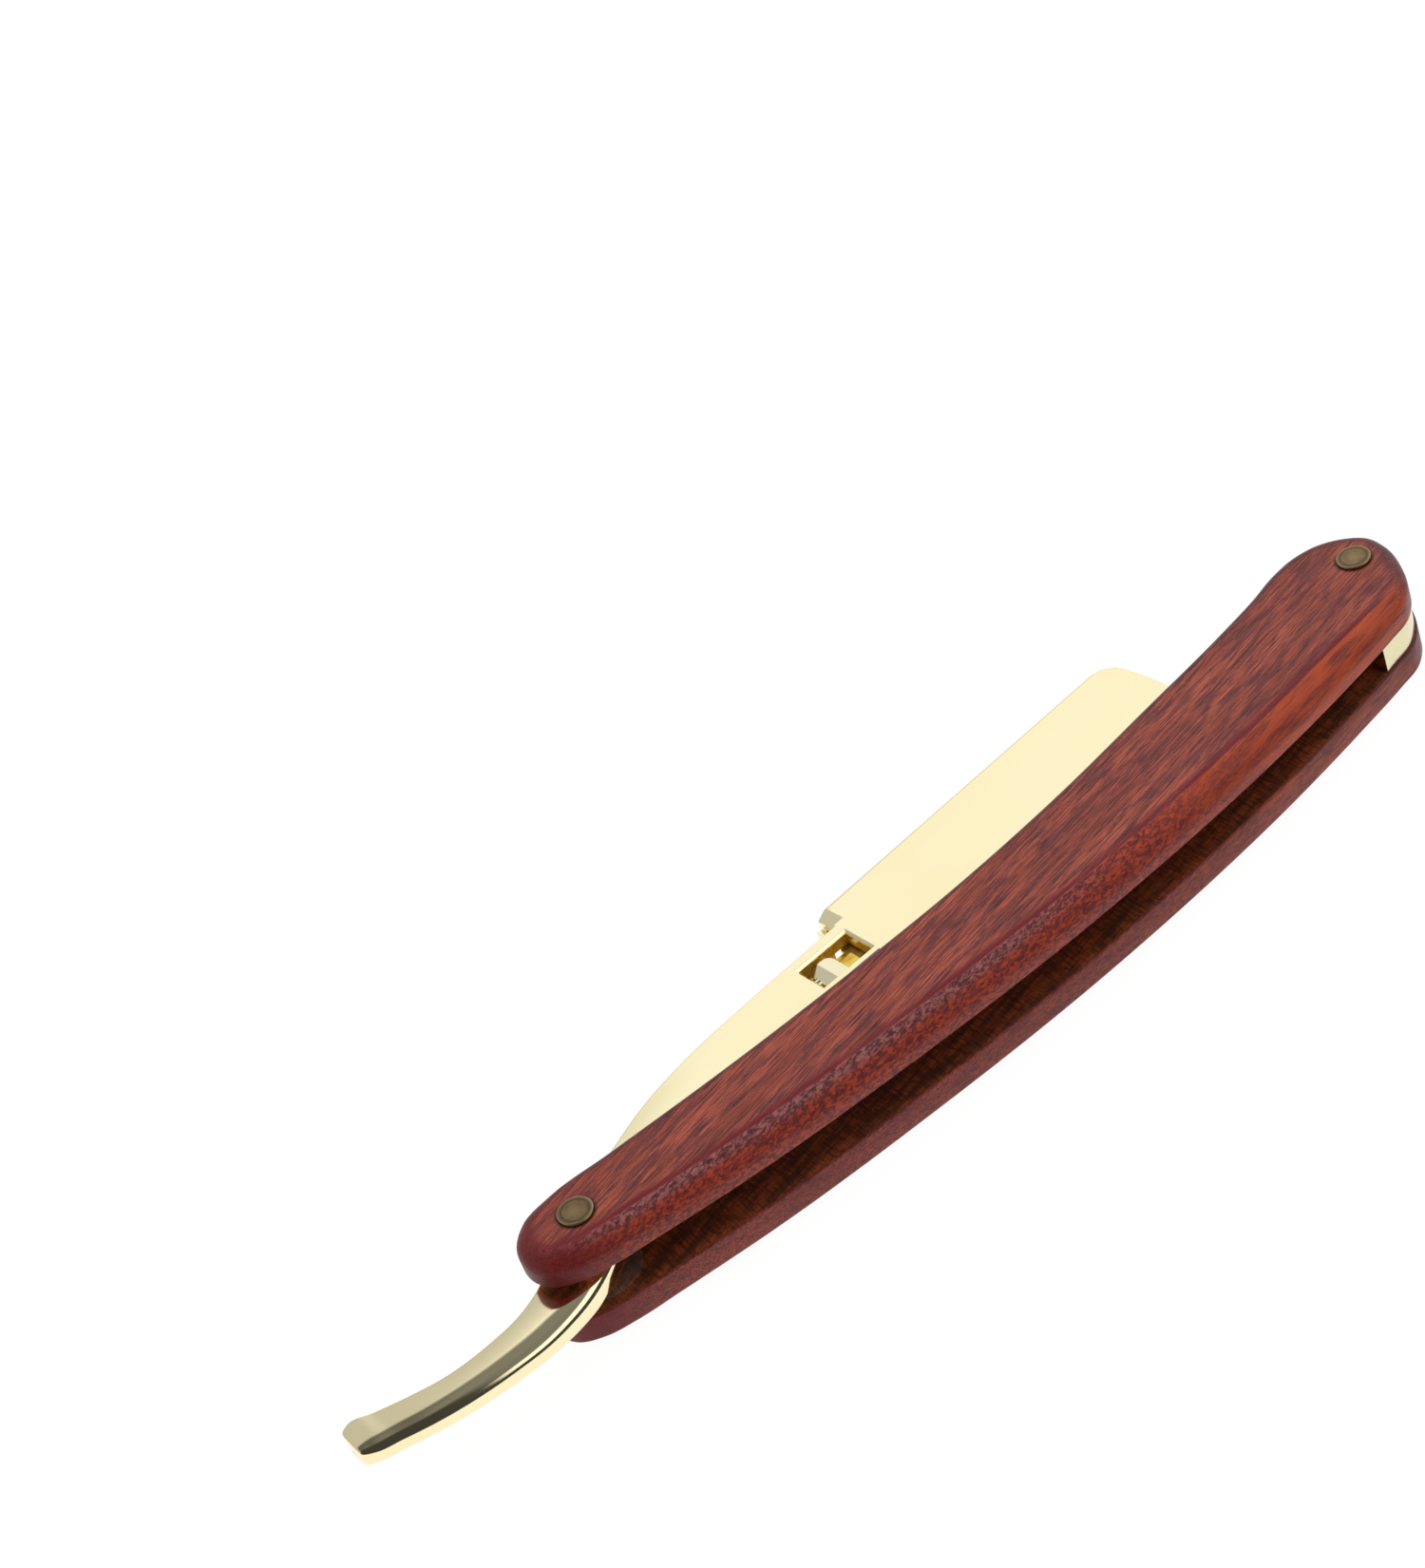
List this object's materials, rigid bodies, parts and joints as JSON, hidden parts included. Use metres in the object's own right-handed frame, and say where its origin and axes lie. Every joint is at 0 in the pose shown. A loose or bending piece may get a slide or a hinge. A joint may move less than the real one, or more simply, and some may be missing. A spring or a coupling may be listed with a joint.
{
  "type": "folding straight razor",
  "caption": "Folding straight razor with rounded wooden scales, a gilt arm with a curved tail, and a spring-latched swing-out clamp for half of a double-edge blade.",
  "frame": {"origin": "centre of the pivot rivet's rear head, on its outer face", "axes": "+Z along the pivot axis from the rear scale to the front scale; +X from the pivot rivet to the butt rivet; +Y to the side that the arm's spine faces when folded"},
  "size_m": [0.1858, 0.0362, 0.0157],
  "materials": {
    "wood": "satin, waxed reddish-brown hardwood with fine dark grain",
    "gold_plate": "polished pale gold plating",
    "antique_brass": "antique olive brass, worn at the rims",
    "clear_nylon": "clear",
    "blade_steel": "bright stainless steel"
  },
  "bodies": {
    "scales": {"front_scale": "wood", "rear_scale": "wood", "butt_spacer": "gold_plate", "pivot_rivet_pin": "antique_brass", "pivot_rivet_tube": "antique_brass", "butt_rivet_pin": "antique_brass", "butt_rivet_tube": "antique_brass", "front_washer": "clear_nylon", "rear_washer": "clear_nylon"},
    "arm": {"blade_arm": "gold_plate", "razor_blade": "blade_steel", "blade_pegs": "gold_plate", "clamp_pin": "gold_plate", "latch_spring": "blade_steel"},
    "clamp": {"clamp_leaf": "gold_plate"},
    "latch": {"release_latch": "gold_plate"}
  },
  "joints": [
    {"name": "blade_fold", "type": "hinge", "parent": "scales", "child": "arm", "pos_m": [0, 0, 0], "axis": [0, 0, 1], "range_deg": [-8, 270]},
    {"name": "clamp_swing", "type": "hinge", "parent": "arm", "child": "clamp", "pos_m": [0.10899, 0.01194, 0], "axis": [0, 0, 1], "range_deg": [0, 35]},
    {"name": "latch_slide", "type": "slide", "parent": "arm", "child": "latch", "axis": [-1, 0, 0], "range_m": [0, 0.0009], "stiffness_N_per_m": 800, "springref_m": -0.001, "deforming": ["latch_spring"]}
  ]
}
